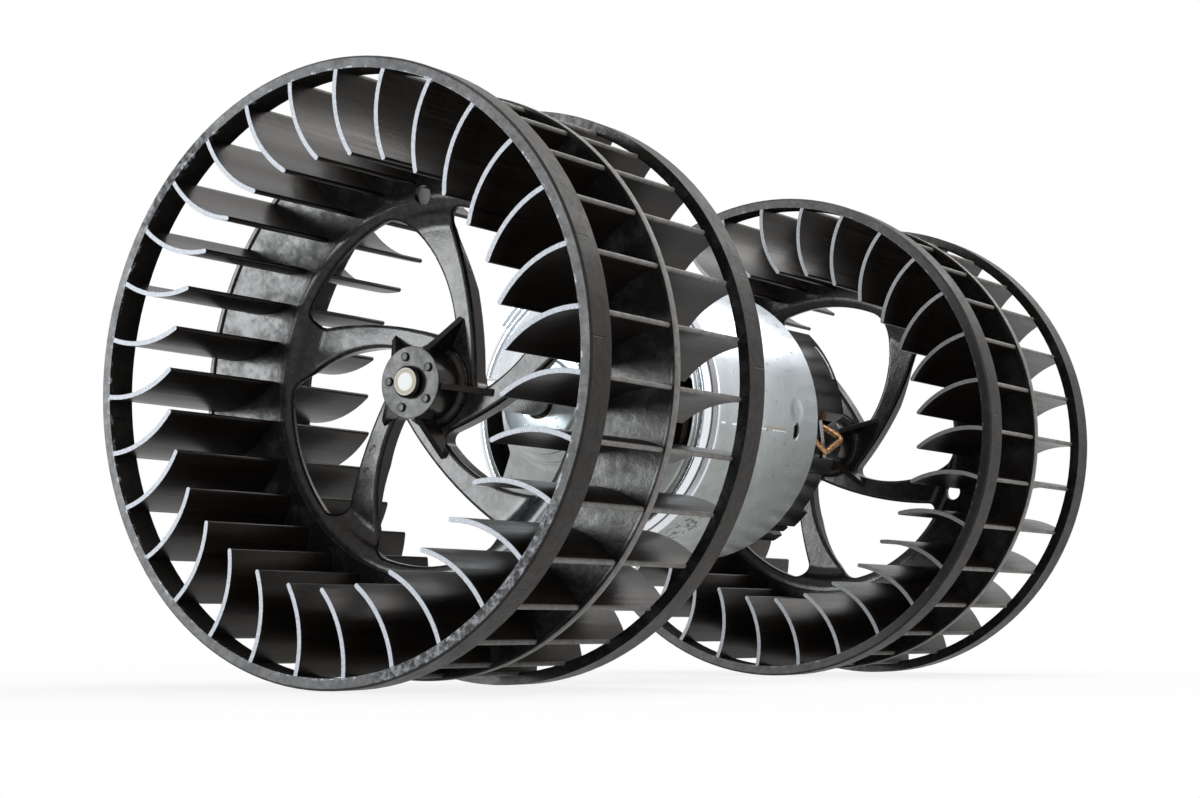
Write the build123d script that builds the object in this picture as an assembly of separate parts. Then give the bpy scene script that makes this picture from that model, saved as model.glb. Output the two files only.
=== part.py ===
from build123d import *
from math import cos, hypot, radians, sin
import os

# Twin-wheel cabin blower. Millimetres. The shaft lies along Y, +Z is up, and the origin is on the
# shaft, midway between the two wheels. The front wheel is at -Y. Angles are clockwise from +Z as
# seen from the front, so a thing at angle a and radius r stands at X = r sin a, Z = r cos a.

# Wheels
wheel_radius = 75.0
wheel_width = 76.5
wheel_spacing = 211.7
ring_wall = 2.9
ring_length = 7.8
ring_chamfer = 0.5
blade_count = 31
blade_wall = 1.2
blade_inner_radius = 51.0
blade_camber = 27.0
blade_lag = 5.6
blade_angle = -2.4
web_wall = 1.3
web_set_in = 1.7
shoulder_outer = 48.4
shoulder_inner = 39.5
rim_lead_outer = 1.0
rim_lead_inner = 0.5
spoke_count = 5
spoke_setback = 2.85
spoke_wall = 1.6
flange_wall = 1.3
flange_depth = 4.6
flange_even_to = 26.0
flange_reach = 43.0
flange_round = 1.0
flange_root = 0.2
window_radius = 45.2
window_rim_wall = 1.6
leading_radius = 39.7
leading_centre = 35.2
leading_angle = -99.4
trailing_radius = 102.3
trailing_centre = 89.9
trailing_angle = 172.8
window_hub_corner = 2.2
window_leading_corner = 6.0
window_trailing_corner = 3.5
hub_radius = 9.0
hub_front = 7.15
hub_rear = 13.0
hub_fillet = 1.8
gusset_wall = 1.6
gusset_reach = 18.5
gusset_top_drop = 1.0
gusset_toe = 0.3
gusset_root = 0.5
balance_hole_radius = 2.5
balance_hole_at = 48.2
balance_hole_angle = -28.8
front_wheel_angle = 26.75
rear_wheel_angle = 140.0

# Shaft and bearings
shaft_radius = 4.0
shaft_front = 115.0
shaft_rear = 121.5
shaft_chamfer = 0.6
bearing_clearance = 0.03
bearing_radius = 8.6
bearing_length = 9.0
bearing_waist = 7.2
bearing_seat_gap = 0.1
washer_wall = 0.8
washer_radius = 6.2
washer_gap = 0.2
sleeve_wall = 2.0
retainer_wall = 0.5
retainer_grip = 7.9
retainer_set_in = 1.1
retainer_fingers = 8
retainer_slit = 0.9
retainer_slit_depth = 1.2
fit_gap = 0.05

# Motor can
can_radius = 40.2
can_wall = 1.6
can_front = 31.5
can_rear = 24.4
boss_face = 58.0
boss_radius = 12.0
boss_lip_radius = 6.1
boss_hole_radius = 4.8
dome_inner_radius = 18.4
dome_inner_face = 48.0
dome_rim_in = 5.6
boss_ease = 0.4
boss_bend = 1.4
dome_bend = 2.4
dome_rim_back = 3.2
dome_rim_bend = 0.9
groove_out = 0.6
groove_back = 1.6
groove_bend = 0.5
bead_in = 3.4
bead_back = 2.2
bead_bend = 0.6
side_in = 1.7
side_back = 0.3
side_bend = 0.4
can_corner = 0.9
bridge_half_width = 20.8
vent_set_in = 0.2
vent_corner = 1.6
vent_arcs = [(97.0, 38.0), (260.0, 46.0)]
seam_hole_angle = 97.5
seam_hole_at = 11.5
seam_hole_length = 4.3
seam_hole_width = 1.9
loop_angle = 314.0
loop_width = 10.5
loop_length = 2.4
loop_height = 2.0
loop_wall = 0.7
loop_foot = 1.4

# Magnets and armature
magnet_wall = 6.6
magnet_front = 23.0
magnet_rear = 15.5
magnet_arc = 124.0
magnet_angles = [98.0, 278.0]
magnet_corner = 0.8
clip_wall = 1.4
clip_set_in = 4.0
air_gap = 1.6
core_front = 17.5
core_rear = 12.5
slot_count = 12
slot_width = 4.4
slot_mouth = 1.8
slot_floor = 13.5
slot_lip = 2.0
coil_reach = 7.0
coil_corner = 2.6
coil_below_slots = 3.0
coil_set_in = 0.4
insulation_wall = 0.8
insulation_gap = 1.0
commutator_radius = 12.0
commutator_front = 26.5
commutator_rear = 41.5
commutator_hub_radius = 7.4
bar_gap = 0.7
riser_height = 1.6
riser_length = 2.0

# Brush end
card_wall = 2.4
card_skirt = 5.0
card_rim = 2.4
card_hole_gap = 3.0
brush_angles = [60.0, 240.0]
brush_width = 6.5
brush_depth = 9.0
brush_length = 11.0
brush_middle = 34.0
brush_air = 0.3
box_wall = 0.7
box_clearance = 0.1
box_length = 8.0
box_set_out = 1.6
box_slot = 2.6
spring_offset = 8.5
spring_radius = 3.3
spring_wall = 0.6
spring_width = 2.4
spring_tip_drop = 1.8
spring_tip_width = 1.4
spring_tip_corner = 0.5
spring_turn_gap = 0.4
spring_link = 0.8
housing_width = 27.0
housing_shift = 3.5
housing_wall = 1.8
housing_room = 4.6
housing_rear = 45.2
housing_ease = 1.2
post_play = 1.7
room_gap = 1.0
root = 0.5
jumper_block_angle = 50.0
jumper_block_width = 4.4
jumper_block_low = 30.0
jumper_block_rear = 40.0
skirt_angle = 66.0
skirt_arc = 24.0
skirt_wall = 1.8
skirt_rear = 36.2
card_teeth = [(77.6, 9.0, 40.0), (84.4, 2.8, 37.0), (91.0, 5.0, 39.0)]
tower_radius = 10.6
tower_lip = 1.4
tower_bore_gap = 1.2
tower_eave = 1.0
tower_room_gap = 2.6
leg_wall = 3.2
leg_reach = 33.0
leg_angle = 45.0
leg_slope_from = 14.0
leg_slope_out = 4.0
leg_slope_in = 3.0
leg_slope_on = 2.0
choke_radius = 2.3
choke_length = 12.0
choke_at = 31.5
choke_height = 3.6
coil_wall = 1.2
coil_length = 9.4
terminal_angles = [154.0, 166.0]
terminal_width = 4.8
terminal_wall = 0.8
terminal_at = 36.0
terminal_foot = 29.0
terminal_rear = 38.0
strap_at = 36.0
strap_wall = 0.8
strap_width = 2.0
strap_near_at = 35.8
strap_far_at = 38.4
strap_bury = 0.3
strap_drop = 0.75
braid_radius = 0.9
braid_bend = 1.5
braid_from = 4.0
braid_start = 0.5
braid_out = 2.1
braid_rise = 3.2
braid_end_at = 36.8
braid_end_angle = 38.5
braid_notch = (24.0, 30.5, 36.5)
braid_places = [(30.0, 27.0, 39.4), (37.6, 37.0, 44.9), (38.1, 44.2, 34.8)]

near = 0.05
pitch = 360.0 / blade_count
web_radius = wheel_radius - web_set_in
wheel_middle = wheel_spacing / 2
can_inner_radius = can_radius - can_wall
dome_rim_radius = can_radius - dome_rim_in
vent_outer_radius = dome_rim_radius - vent_set_in
magnet_outer_radius = can_inner_radius - fit_gap
magnet_inner_radius = magnet_outer_radius - magnet_wall
core_radius = magnet_inner_radius - air_gap
rear_bearing_front = commutator_rear + 2 * washer_gap + washer_wall + 2 * retainer_wall
rear_bearing_rear = rear_bearing_front + bearing_length
front_bearing_front = -(boss_face - can_wall - bearing_seat_gap)
front_bearing_rear = front_bearing_front + bearing_length
front_retainer_front = front_bearing_rear - retainer_set_in
card_seat = can_inner_radius - fit_gap
card_floor_front = can_rear - card_wall
tower_front = rear_bearing_front - retainer_wall - washer_gap
tower_rear = rear_bearing_rear + tower_lip
brush_low = commutator_radius + brush_air
brush_high = brush_low + brush_length
brush_front = brush_middle - brush_depth / 2
brush_rear = brush_middle + brush_depth / 2
box_low = brush_low + box_set_out
spring_pivot = brush_high + brush_air + spring_tip_drop + spring_radius
housing_reach = spring_pivot + spring_radius + housing_room + housing_wall


def at(radius, turn):
    """The X and Z of a place given by its radius and clockwise angle."""
    return (radius * sin(radians(turn)), radius * cos(radians(turn)))


def slab(face, start, end):
    """A flat outline in X and Z, made solid from one Y to another."""
    return extrude(Plane.XZ.offset(-start) * face, amount=-(end - start))


def turned(face):
    """A half section, radius by Y, revolved about the shaft."""
    return revolve(face, axis=Axis.Y, revolution_arc=360)


def tube(inner, outer, start, end):
    """A plain ring about the shaft."""
    return slab(Circle(outer) - Circle(inner) if inner else Circle(outer), start, end)


def turn(shape, angle):
    return Rot(0, angle, 0) * shape


def sector(inner, outer, middle, arc, corner=0.0):
    """A piece of a ring, as a flat outline, centred on an angle."""
    start = 90 - middle - arc / 2
    lines = Curve() + [
        CenterArc((0, 0), outer, start, arc),
        CenterArc((0, 0), inner, start, arc),
        Line(at(inner, middle - arc / 2), at(outer, middle - arc / 2)),
        Line(at(inner, middle + arc / 2), at(outer, middle + arc / 2)),
    ]
    face = make_face(lines)
    return fillet(face.vertices(), corner) if corner else face


# Wheel: one moulding with two end rings, a flat mid web, blades and a spoked centre


def blade_outline():
    """One blade's section: a strip of even wall on a round camber line, with a rounded tip."""
    ring_inner = wheel_radius - ring_wall
    outer_end = at(ring_inner, blade_angle)
    tip = at(blade_inner_radius + blade_wall / 2, blade_angle + blade_lag)
    return SlotArc(RadiusArc(tip, outer_end, blade_camber), blade_wall)


def window_outline(grow=0.0):
    """The opening between two spokes: inside the rim circle and the round of the spoke on one side,
    outside the long arc of the spoke on the other, each corner rounded unlike the others."""
    leading = Pos(*at(leading_centre, leading_angle)) * Circle(leading_radius + grow)
    trailing = Pos(*at(trailing_centre, trailing_angle)) * Circle(trailing_radius - grow)
    face = ((Circle(window_radius + grow) & leading) - trailing).face()
    by_radius = face.vertices().sort_by(lambda v: hypot(v.X, v.Y))
    hub_corner = by_radius[0]
    trailing_corner, leading_corner = ShapeList(by_radius[1:]).sort_by(Axis.Y)
    face = fillet(hub_corner, window_hub_corner + grow)
    for corner, radius in ((leading_corner, window_leading_corner),
                           (trailing_corner, window_trailing_corner)):
        vertex = face.vertices().sort_by(lambda v: hypot(v.X - corner.X, v.Y - corner.Y))[0]
        face = fillet(vertex, radius + grow)
    return face


def shoulder_bend():
    """The radius of the two equal arcs that take the shoulder from the web down to the spokes."""
    fall = (spoke_setback + web_wall / 2) / 2
    run = (shoulder_outer - shoulder_inner) / 2
    return (run * run + fall * fall) / (2 * fall)


def front_face(radius):
    """The Y of the wheel centre's front face at a radius."""
    bend = shoulder_bend()
    if radius < shoulder_inner:
        return spoke_setback
    if radius < (shoulder_outer + shoulder_inner) / 2:
        into = radius - shoulder_inner
        return spoke_setback - bend + (bend * bend - into * into) ** 0.5
    into = shoulder_outer - radius
    return bend - (bend * bend - into * into) ** 0.5 - web_wall / 2


def wheel_centre():
    """The web, its rounded shoulder, the set-back spoke plate and the hub, as one revolved body."""
    half = web_wall / 2
    plate_rear = spoke_setback + spoke_wall
    bend_radius = (shoulder_outer + shoulder_inner) / 2
    lower_bend = (bend_radius + shoulder_inner) / 2
    upper_bend = (bend_radius + shoulder_outer) / 2
    rim_rear = (window_radius, front_face(window_radius) + window_rim_wall)
    outline = Curve() + [
        Line((web_radius, -half), (web_radius, half)),
        Line((web_radius, half), (shoulder_outer + rim_lead_outer, half)),
        Line((shoulder_outer + rim_lead_outer, half), rim_rear),
        Line(rim_rear, (shoulder_inner + rim_lead_inner, plate_rear)),
        Line((shoulder_inner + rim_lead_inner, plate_rear), (hub_radius, plate_rear)),
        Line((hub_radius, plate_rear), (hub_radius, hub_rear)),
        Line((hub_radius, hub_rear), (shaft_radius, hub_rear)),
        Line((shaft_radius, hub_rear), (shaft_radius, -hub_front)),
        Line((shaft_radius, -hub_front), (hub_radius, -hub_front)),
        Line((hub_radius, -hub_front), (hub_radius, spoke_setback - hub_fillet)),
        RadiusArc((hub_radius, spoke_setback - hub_fillet),
                  (hub_radius + hub_fillet, spoke_setback), -hub_fillet),
        Line((hub_radius + hub_fillet, spoke_setback), (shoulder_inner, spoke_setback)),
        ThreePointArc(*[(r, front_face(r)) for r in (shoulder_inner, lower_bend, bend_radius)]),
        ThreePointArc(*[(r, front_face(r)) for r in (bend_radius, upper_bend, shoulder_outer)]),
        Line((shoulder_outer, -half), (web_radius, -half)),
    ]
    return turned(make_face(outline))


def gusset():
    """A three-cornered fin from the hub's side down to the root of a spoke."""
    profile = Polyline(
        (hub_radius - gusset_root, gusset_top_drop - hub_front),
        (hub_radius, gusset_top_drop - hub_front),
        (gusset_reach, spoke_setback - gusset_toe),
        (gusset_reach, spoke_setback + gusset_root),
        (hub_radius - gusset_root, spoke_setback + gusset_root),
        close=True,
    )
    fin = Plane.ZY * make_face(profile)
    return extrude(fin, amount=gusset_wall / 2, both=True)


def end_ring():
    """One end ring, with its outer edge eased, its face at y = 0 and its body behind."""
    ring = tube(wheel_radius - ring_wall, wheel_radius, 0, ring_length)
    edges = ring.edges().filter_by(GeomType.CIRCLE)
    rim = edges.filter_by(lambda e: e.radius > wheel_radius - near and e.center().Y < near)
    return chamfer(rim, ring_chamfer)


def spoke_flange():
    """The wall behind a window's edge. It stiffens the spokes and runs out before the rim."""
    rear = spoke_setback + flange_depth
    start = spoke_setback + flange_root
    wall = slab(window_outline(flange_wall), start, rear)
    runout = make_face(Polyline(
        (0, start), (flange_reach, start), (flange_even_to, rear), (0, rear), close=True))
    return wall & turned(runout)


def on_window_edge(edge):
    """True for the front edge of a window: it lies on the front face and isn't a line on it that
    runs round the axis inside the rim."""
    middle = edge @ 0.5
    radius = hypot(middle.X, middle.Z)
    if not hub_radius + hub_fillet + near < radius < window_radius + near:
        return False
    if abs(middle.Y - front_face(radius)) > near or edge.geom_type == GeomType.LINE:
        return False
    around = max(abs(hypot(p.X, p.Z) - radius) for p in (edge @ 0, edge @ 1)) < near / 5
    return not around or abs(radius - window_radius) < near


def wheel():
    step = 360.0 / spoke_count
    centre = wheel_centre()
    wall = spoke_flange()
    cut = slab(window_outline(), -wheel_width, wheel_width)
    centre = centre.fuse(*[turn(wall, k * step) for k in range(spoke_count)])
    centre = centre.cut(*[turn(cut, k * step) for k in range(spoke_count)])
    centre = fillet([e for e in centre.edges() if on_window_edge(e)], flange_round)
    hole = slab(Pos(*at(balance_hole_at, balance_hole_angle)) * Circle(balance_hole_radius),
                -wheel_width / 2, wheel_width / 2)
    blade = slab(blade_outline(), -wheel_width / 2, wheel_width / 2)
    ring = end_ring()
    front_ring = Pos(0, -wheel_width / 2, 0) * ring
    rear_ring = Rot(180, 0, 0) * front_ring
    gussets = [turn(gusset(), k * step) for k in range(spoke_count)]
    blades = [turn(blade, k * pitch) for k in range(blade_count)]
    whole = centre.fuse(*gussets).cut(hole)
    return whole.fuse(front_ring, rear_ring, *blades)


# Motor can: drawn from one sheet, so its section is one line of even wall


def can_section():
    """Half of the can's wall. The outline is drawn once, its corners are rounded, and the same
    outline set in by the wall is taken out of it."""
    beyond = can_rear + can_radius / 4
    corners = [
        ((boss_radius, boss_ease - boss_face), boss_bend),
        ((dome_inner_radius, -dome_inner_face), dome_bend),
        ((dome_rim_radius, -can_front - dome_rim_back), dome_rim_bend),
        ((dome_rim_radius + groove_out, -can_front - groove_back), groove_bend),
        ((can_radius - bead_in, -can_front - bead_back), bead_bend),
        ((can_radius - side_in, -can_front - side_back), side_bend),
        ((can_radius, can_corner - can_front), can_corner),
    ]
    points = [(-can_radius, -boss_face), (boss_lip_radius, -boss_face)]
    points += [place for place, radius in corners]
    points += [(can_radius, beyond), (-can_radius, beyond)]
    face = make_face(Polyline(*points, close=True))
    for (x, y), radius in corners:
        corner = face.vertices().sort_by(lambda v: hypot(v.X - x, v.Y - y))[0]
        face = fillet(corner, radius)
    inside = offset(face, amount=-can_wall, kind=Kind.INTERSECTION)
    length = boss_face + can_rear
    keep_side = Pos(boss_hole_radius + can_radius / 2, can_rear - length / 2) * Rectangle(can_radius, length)
    return (face - inside) & keep_side


def vent(middle, arc):
    """An opening in the can's front, straight along the bridge that it leaves at the middle."""
    wedge = sector(bridge_half_width / 2, vent_outer_radius, middle, arc)
    outside = Pos(*at(bridge_half_width + can_radius / 2, middle)) * Rot(0, 0, -middle) * Rectangle(
        2 * can_radius, can_radius)
    outline = (wedge & outside).face()
    return slab(fillet(outline.vertices(), vent_corner), -boss_face, -can_front)


def hanging_loop():
    """A loop lanced up from the can's front corner, with a slot under it."""
    high = can_radius + loop_height
    low = can_inner_radius + fit_gap
    start = -can_front + fit_gap + can_wall / 2
    outer = block(loop_width, low, high, start, start + loop_length)
    inner = block(loop_width - 2 * loop_foot, can_radius, high - loop_wall, start - loop_length,
                  start + 2 * loop_length)
    return turn(outer & tube(low, high, start, start + loop_length), loop_angle), turn(inner, loop_angle)


def motor_can():
    loop, slot = hanging_loop()
    seam_slot = SlotOverall(seam_hole_length, seam_hole_width)
    seam_hole = Pos(0, seam_hole_at, 0) * turn(
        extrude(Plane.XY.offset(can_inner_radius - can_wall) * seam_slot, amount=3 * can_wall),
        seam_hole_angle)
    can = turned(can_section()).fuse(loop.cut(slot))
    return can.cut(*[vent(a, arc) for a, arc in vent_arcs], seam_hole)


# Shaft, bearings and what keeps them


def shaft():
    rod = slab(Circle(shaft_radius), -shaft_front, shaft_rear)
    return chamfer(rod.edges().filter_by(GeomType.CIRCLE), shaft_chamfer)


def bearing(front):
    """A sintered bush: round bore, barrel-shaped outside so that it lines itself up."""
    bore = shaft_radius + bearing_clearance
    waist = bearing_waist
    section = make_face(Curve() + [
        Line((bore, 0), (bore, bearing_length)),
        Line((bore, bearing_length), (waist, bearing_length)),
        ThreePointArc((waist, bearing_length), (bearing_radius, bearing_length / 2), (waist, 0)),
        Line((waist, 0), (bore, 0)),
    ])
    return Pos(0, front, 0) * turned(section)


def retainer(inner, outer, front):
    """A sprung star washer: a ring whose inner edge is cut into fingers."""
    ring = Circle(outer) - Circle(inner)
    slit = Pos(0, inner) * Rectangle(retainer_slit, 2 * retainer_slit_depth)
    for k in range(retainer_fingers):
        ring -= Rot(0, 0, -k * 360 / retainer_fingers) * slit
    return slab(ring, front, front + retainer_wall)


# Magnets and armature


def magnet(middle):
    return slab(sector(magnet_inner_radius, magnet_outer_radius, middle, magnet_arc, magnet_corner),
                -magnet_front, magnet_rear)


def magnet_clips():
    """Two sprung plates that push the magnets apart, one in each gap between them."""
    gap = 180.0 - magnet_arc - magnet_corner
    outer = magnet_outer_radius
    return [
        slab(sector(outer - clip_wall, outer, a + 90.0, gap), clip_set_in - magnet_front,
             magnet_rear - clip_set_in)
        for a in magnet_angles
    ]


def slot_outline(width, floor, top):
    return Pos(0, (floor + top) / 2) * Rectangle(width, top - floor)


def lamination(outer, inner):
    """The slotted outline shared by the core and the insulation on its ends."""
    plate = Circle(outer) - Circle(inner)
    for k in range(slot_count):
        spin = Rot(0, 0, k * 360 / slot_count)
        plate -= spin * slot_outline(slot_width, slot_floor, core_radius - slot_lip)
        plate -= spin * slot_outline(slot_mouth, core_radius - slot_lip - 1.0, core_radius + 1.0)
    return plate


def armature_core():
    return slab(lamination(core_radius, shaft_radius), -core_front, core_rear)


def slot_insulation():
    plate = lamination(core_radius - coil_set_in, commutator_hub_radius + insulation_gap)
    return Compound([
        slab(plate, -core_front - insulation_wall, -core_front),
        slab(plate, core_rear, core_rear + insulation_wall),
    ])


def armature_windings():
    """Copper in the slots, and the rounded bundles of end turns at each end of the core."""
    inner = slot_floor - coil_below_slots
    outer = core_radius - slot_lip - coil_set_in
    bundle = Pos((inner + outer) / 2, coil_reach / 2) * RectangleRounded(
        outer - inner, coil_reach, coil_corner)
    rear_start = core_rear + insulation_wall
    front_start = core_front + insulation_wall
    rear = Pos(0, rear_start, 0) * turned(bundle)
    front = Pos(0, -front_start - coil_reach, 0) * turned(bundle)
    bar = slab(slot_outline(slot_width - 2 * fit_gap, slot_floor + fit_gap, outer),
               -front_start - 0.5, rear_start + 0.5)
    bars = [turn(bar, k * 360 / slot_count) for k in range(slot_count)]
    return front.fuse(rear, *bars)


def commutator_bars():
    ring = Circle(commutator_radius) - Circle(commutator_hub_radius)
    riser = Circle(commutator_radius + riser_height) - Circle(commutator_hub_radius)
    body = slab(ring, commutator_front, commutator_rear)
    body = body.fuse(slab(riser, commutator_front, commutator_front + riser_length))
    for k in range(slot_count):
        gap = Rot(0, 0, (k + 0.5) * 360 / slot_count) * slot_outline(
            bar_gap, commutator_hub_radius - bar_gap, commutator_radius + 2 * riser_height)
        body -= slab(gap, commutator_front - 1, commutator_rear + 1)
    return body


# Brush end, all drawn at twelve o'clock and turned to its place


def block(width, low, high, start, end, middle=0.0, corner=0.0):
    """A block across the radius: its width in X, from one Z to another and one Y to another."""
    shape = Pos(middle, (low + high) / 2, 0) * (
        RectangleRounded(width, high - low, corner) if corner else Rectangle(width, high - low))
    return slab(shape, start, end)


def brush():
    """A carbon block with its face worn to the commutator's curve."""
    carbon = block(brush_width, brush_low - 2.0, brush_high, brush_front, brush_rear)
    return carbon.cut(slab(Circle(brush_low), brush_front - 1, brush_rear + 1))


def brush_box():
    """The brass guide round a brush, folded from strip, with a slot behind for the braid."""
    width = brush_width + 2 * box_clearance
    start = brush_front - box_clearance
    end = brush_rear + box_clearance
    high = box_low + box_length
    shell = block(width + 2 * box_wall, box_low, high, start - box_wall, end + box_wall)
    slot = block(box_slot, box_low - 1, high + 1, brush_middle, end + 2 * box_wall)
    return shell.cut(block(width, box_low - 1, high + 1, start, end), slot)


def brush_spring():
    """A wound strip spring on a post, whose arm ends in a hooked tip over the brush."""
    coil = Circle(spring_radius) - Circle(spring_radius - spring_wall)
    inner_high = spring_radius - spring_wall - spring_turn_gap
    inner_coil = Circle(inner_high) - Circle(inner_high - spring_turn_gap)
    arm_low = -spring_radius
    arm = Pos(-spring_offset / 2, arm_low + spring_wall / 2) * Rectangle(spring_offset, spring_wall)
    tip = Pos(-spring_offset, arm_low - spring_tip_drop / 2 + spring_wall / 2) * RectangleRounded(
        spring_tip_width, spring_tip_drop + spring_wall, spring_tip_corner)
    link = Pos(inner_high + spring_turn_gap / 2, 0) * Rectangle(spring_link, spring_link)
    profile = Pos(spring_offset, spring_pivot) * (coil + inner_coil + arm + tip + link)
    return slab(profile, brush_middle - spring_width / 2, brush_middle + spring_width / 2)


def housing_form(inset=0.0):
    """The round form, eased at its rear corner, that limits a housing or the room inside it."""
    reach = housing_reach - inset
    rear = housing_rear - inset
    return turned(make_face(Polyline(
        (0, can_rear - card_wall), (reach, can_rear - card_wall), (reach, rear - housing_ease),
        (reach - housing_ease, rear), (0, rear), close=True)))


def card_housing():
    """The moulded box over one brush: open underneath, with a round outer wall, a post for the
    spring and a notch where the braid leaves."""
    side = housing_shift + housing_width / 2
    outer = block(housing_width, box_low, housing_reach, can_rear, housing_rear,
                  middle=housing_shift) & housing_form()
    inner = block(housing_width - 2 * housing_wall, box_low - 1, housing_reach, can_rear + 1.0,
                  housing_rear, middle=housing_shift) & housing_form(housing_wall)
    post = Pos(spring_offset, 0, spring_pivot) * slab(
        Circle(spring_radius - post_play), can_rear, housing_rear - housing_wall + fit_gap)
    commutator_room = tube(0, brush_low + room_gap, can_rear - 1, housing_rear + 1)
    notch = block(2 * housing_wall, *braid_notch, housing_rear - housing_wall, middle=side)
    return outer.cut(inner).fuse(post).cut(commutator_room, notch)


def braid_hole():
    """The socket in the card that takes the braid's tail."""
    socket = Pos(0, 0, braid_end_at) * slab(Circle(braid_radius), card_floor_front - 1, can_rear + 1)
    return turn(socket, braid_end_angle)


def brush_card():
    """The plastic end of the motor: a floor in the can's mouth, two brush housings and a tower
    that carries the rear bearing on four legs."""
    card = tube(commutator_radius + card_hole_gap, card_seat, card_floor_front, can_rear)
    rim = tube(card_seat - card_rim, card_seat, can_rear - card_skirt, can_rear)
    tower = tube(bearing_radius, tower_radius, tower_front, rear_bearing_rear)
    lip = tube(shaft_radius + tower_bore_gap, tower_radius, rear_bearing_rear, tower_rear)
    leg = block(leg_wall, tower_radius - root, leg_reach, can_rear - root, tower_rear - tower_eave)
    trim = extrude(Plane.YZ.offset(-leg_wall) * make_face(Polyline(
        (can_rear + leg_slope_from, can_radius), (tower_rear + leg_slope_on, can_radius),
        (tower_rear + leg_slope_on, tower_radius + leg_slope_in),
        (can_rear + leg_slope_from, leg_reach - leg_slope_out), close=True)),
        amount=2 * leg_wall)
    leg = leg.cut(trim, tube(0, commutator_radius + tower_room_gap, card_floor_front, tower_front))
    pieces = [rim, tower, lip]
    pieces += [turn(leg, brush_angles[0] + leg_angle + k * 90.0) for k in range(4)]
    for a in brush_angles:
        pieces.append(turn(card_housing(), a))
        pieces.append(turn(
            block(jumper_block_width, jumper_block_low, card_seat, can_rear - root, jumper_block_rear),
            a + jumper_block_angle))
        skirt = sector(card_seat - skirt_wall, card_seat, a + skirt_angle, skirt_arc)
        pieces.append(slab(skirt, can_rear - root, skirt_rear))
        for tooth_angle, arc, tooth_rear in card_teeth:
            tooth = sector(card_seat - skirt_wall, card_seat, a + tooth_angle, arc)
            pieces.append(slab(tooth, can_rear - root, tooth_rear))
    holes = [turn(braid_hole(), a) for a in brush_angles]
    return card.fuse(*pieces).cut(*holes)


def choke_rod():
    """A ferrite rod that lies across the radius on the card."""
    return extrude(Plane.YZ.offset(-choke_length / 2) * Pos(can_rear + choke_height, choke_at)
                   * Circle(choke_radius), amount=choke_length)


def choke_winding():
    ring = Circle(choke_radius + coil_wall) - Circle(choke_radius)
    return extrude(Plane.YZ.offset(-coil_length / 2) * Pos(can_rear + choke_height, choke_at)
                   * ring, amount=coil_length)


def terminal():
    """A flat brass blade that stands out of the card for the loom's connector."""
    blade = block(terminal_width, terminal_at - terminal_wall, terminal_at, can_rear, terminal_rear)
    foot = block(terminal_width, terminal_foot, terminal_at, can_rear, can_rear + terminal_wall)
    return blade.fuse(foot)


def steel_strap():
    """The steel strip that crosses from a brush housing to the block beside it."""
    start = housing_shift + housing_width / 2 - fit_gap
    far = Vector(*at(strap_at, jumper_block_angle))
    side = Vector(*at(1.0, jumper_block_angle + 90.0))
    end = far - side * (jumper_block_width / 2 - strap_bury)
    near = Vector(start, strap_near_at, far.Y + (end.X - start) * strap_drop)
    run = Vector(end.X, strap_far_at, end.Y) - near
    section = Plane(origin=near, x_dir=(0, 1, 0), z_dir=run) * Rectangle(strap_width, strap_wall)
    return extrude(section, amount=run.length, dir=run.normalized())


def braid():
    """The copper braid from a brush, out through the notch and back to its socket in the card."""
    low = box_low + braid_from
    places = [
        (low, 0.0, brush_rear + braid_start),
        (low, 0.0, brush_rear + braid_start + braid_out),
        *braid_places,
        (braid_end_at, braid_end_angle, can_rear + braid_rise),
        (braid_end_at, braid_end_angle, can_rear - card_wall),
    ]
    points = [Vector(at(r, a)[0], y, at(r, a)[1]) for r, a, y in places]
    path = FilletPolyline(*points, radius=braid_bend)
    start = Plane(origin=path @ 0, z_dir=path % 0)
    return sweep(start * Circle(braid_radius), path=path)


parts = {}


def keep(name, shape):
    parts[name] = shape


front_wheel = wheel()
keep("wheel_front", Pos(0, -wheel_middle, 0) * turn(front_wheel, front_wheel_angle))
keep("wheel_rear", Pos(0, wheel_middle, 0) * turn(front_wheel, rear_wheel_angle))
keep("motor_can", motor_can())
keep("shaft", shaft())
keep("front_bearing", bearing(front_bearing_front))
keep("rear_bearing", bearing(rear_bearing_front))

dome_slope = (dome_inner_radius - boss_radius) / (boss_face - boss_ease - dome_inner_face)
dome_reach = boss_radius + dome_slope * (front_retainer_front + boss_face - boss_ease)
dome_reach -= can_wall * hypot(1.0, dome_slope) + fit_gap
keep("front_bearing_retainer", retainer(retainer_grip, dome_reach, front_retainer_front))
keep("rear_bearing_retainer",
     retainer(washer_radius + 2 * washer_gap, bearing_radius, rear_bearing_front - retainer_wall))
front_washer = front_bearing_rear + washer_gap
rear_washer = commutator_rear + washer_gap
keep("front_thrust_washer", tube(shaft_radius, washer_radius, front_washer, front_washer + washer_wall))
keep("rear_thrust_washer", tube(shaft_radius, washer_radius, rear_washer, rear_washer + washer_wall))
keep("spacer_sleeve", tube(shaft_radius, shaft_radius + sleeve_wall, front_washer + washer_wall, -core_front))

for name, middle in zip(("magnet_right", "magnet_left"), magnet_angles):
    keep(name, magnet(middle))
keep("magnet_clips", Compound(magnet_clips()))
keep("armature_core", armature_core())
keep("slot_insulation", slot_insulation())
keep("armature_windings", armature_windings())
keep("commutator_bars", commutator_bars())
keep("commutator_hub",
     tube(shaft_radius, commutator_hub_radius, core_rear, rear_washer))

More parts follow.
